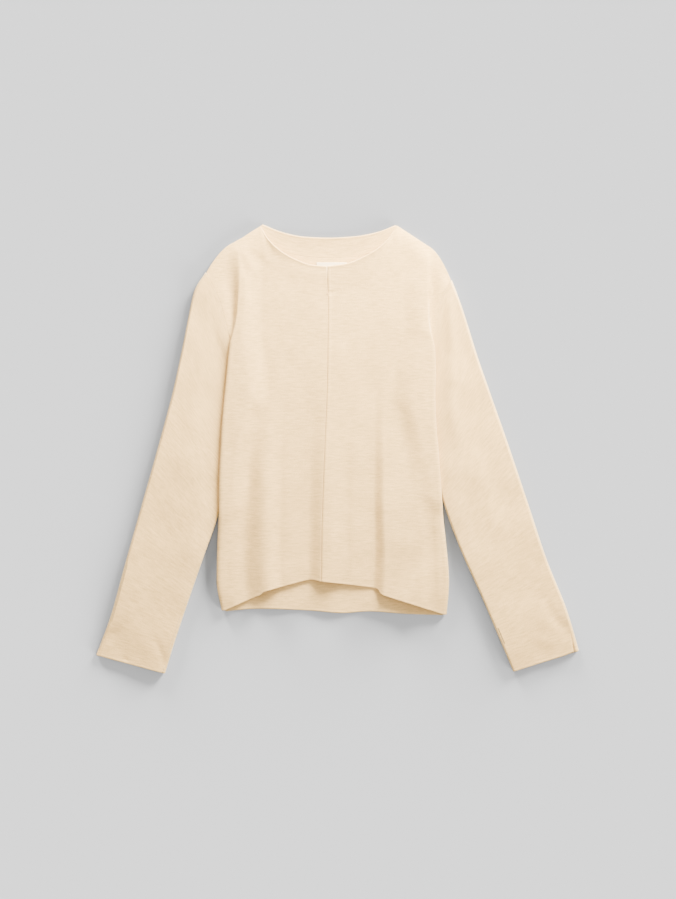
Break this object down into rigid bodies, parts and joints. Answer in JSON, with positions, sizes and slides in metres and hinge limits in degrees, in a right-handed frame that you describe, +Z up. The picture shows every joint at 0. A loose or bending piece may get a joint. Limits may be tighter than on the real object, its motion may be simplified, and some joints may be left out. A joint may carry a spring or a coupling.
{
  "type": "stand collar sweater",
  "caption": "Fine-knit long-sleeved sweater laid flat, with a stand collar, a short slit and seam down the front, slit cuffs and a hem that rises at the front.",
  "frame": {"origin": "on the surface the sweater lies on, under the middle of its bounding box", "axes": "+Z up from the surface, +Y from the hem to the collar, +X to the wearer's left"},
  "size_m": [0.7494, 0.6968, 0.0142],
  "materials": {
    "knit": "matte",
    "label_tape": "satin"
  },
  "bodies": {
    "root": {"front_right": "knit", "front_left": "knit", "back": "knit", "collar_back": "knit", "sleeve_right": "knit", "sleeve_left": "knit", "label": "label_tape"}
  },
  "joints": []
}
